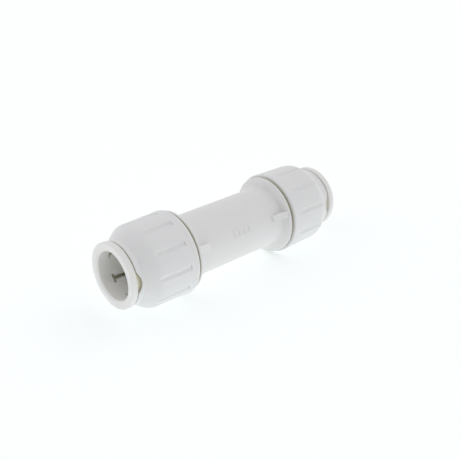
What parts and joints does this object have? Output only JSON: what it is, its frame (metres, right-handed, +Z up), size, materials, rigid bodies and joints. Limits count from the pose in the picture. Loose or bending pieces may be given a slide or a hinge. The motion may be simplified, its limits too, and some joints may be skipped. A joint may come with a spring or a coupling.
{
  "type": "push fit coupling",
  "caption": "Straight white push fit pipe coupling: a long plain tube with a twist-lock cap, release collet, grip inserts and seal at each end.",
  "frame": {"origin": "middle of the coupling, on its axis", "axes": "+X along the axis towards the right cap, +Z up, -Y towards the viewer at the front"},
  "size_m": [0.084, 0.0266, 0.0266],
  "materials": {
    "body_plastic": "semi-gloss moulded white plastic",
    "cap_plastic": "semi-gloss moulded white plastic",
    "collet_plastic": "semi-gloss moulded white plastic",
    "spacer_plastic": "satin natural plastic",
    "seal_rubber": "lubricated black rubber",
    "grip_steel": "bright rolled steel strip"
  },
  "bodies": {
    "fitting": {"fitting_body": "body_plastic", "left_o_ring": "seal_rubber", "right_o_ring": "seal_rubber"},
    "left_press_ring": {"left_spacer": "spacer_plastic"},
    "left_twist_cap": {"left_cap": "cap_plastic"},
    "left_release": {"left_collet": "collet_plastic", "left_tooth_1": "grip_steel", "left_tooth_2": "grip_steel", "left_tooth_3": "grip_steel", "left_tooth_4": "grip_steel", "left_tooth_5": "grip_steel", "left_tooth_6": "grip_steel"},
    "right_press_ring": {"right_spacer": "spacer_plastic"},
    "right_twist_cap": {"right_cap": "cap_plastic"},
    "right_release": {"right_collet": "collet_plastic", "right_tooth_1": "grip_steel", "right_tooth_2": "grip_steel", "right_tooth_3": "grip_steel", "right_tooth_4": "grip_steel", "right_tooth_5": "grip_steel", "right_tooth_6": "grip_steel"}
  },
  "joints": [
    {"name": "left_press_slide", "type": "slide", "parent": "fitting", "child": "left_press_ring", "axis": [1, 0, 0], "range_m": [0, 0.000533]},
    {"name": "left_cap_twist", "type": "hinge", "parent": "left_press_ring", "child": "left_twist_cap", "pos_m": [-0.0295, 0, 0], "axis": [1, 0, 0], "range_deg": [0, 80]},
    {"name": "left_collet_slide", "type": "slide", "parent": "left_press_ring", "child": "left_release", "axis": [1, 0, 0], "range_m": [0, 0.00025]},
    {"name": "right_press_slide", "type": "slide", "parent": "fitting", "child": "right_press_ring", "axis": [-1, 0, 0], "range_m": [0, 0.000533]},
    {"name": "right_cap_twist", "type": "hinge", "parent": "right_press_ring", "child": "right_twist_cap", "pos_m": [0.0295, 0, 0], "axis": [-1, 0, 0], "range_deg": [0, 80]},
    {"name": "right_collet_slide", "type": "slide", "parent": "right_press_ring", "child": "right_release", "axis": [-1, 0, 0], "range_m": [0, 0.00025]}
  ],
  "couplings": [
    {"joint": "left_press_slide", "follows": "left_cap_twist", "m_per_rad": 0.00038197},
    {"joint": "right_press_slide", "follows": "right_cap_twist", "m_per_rad": 0.00038197}
  ]
}
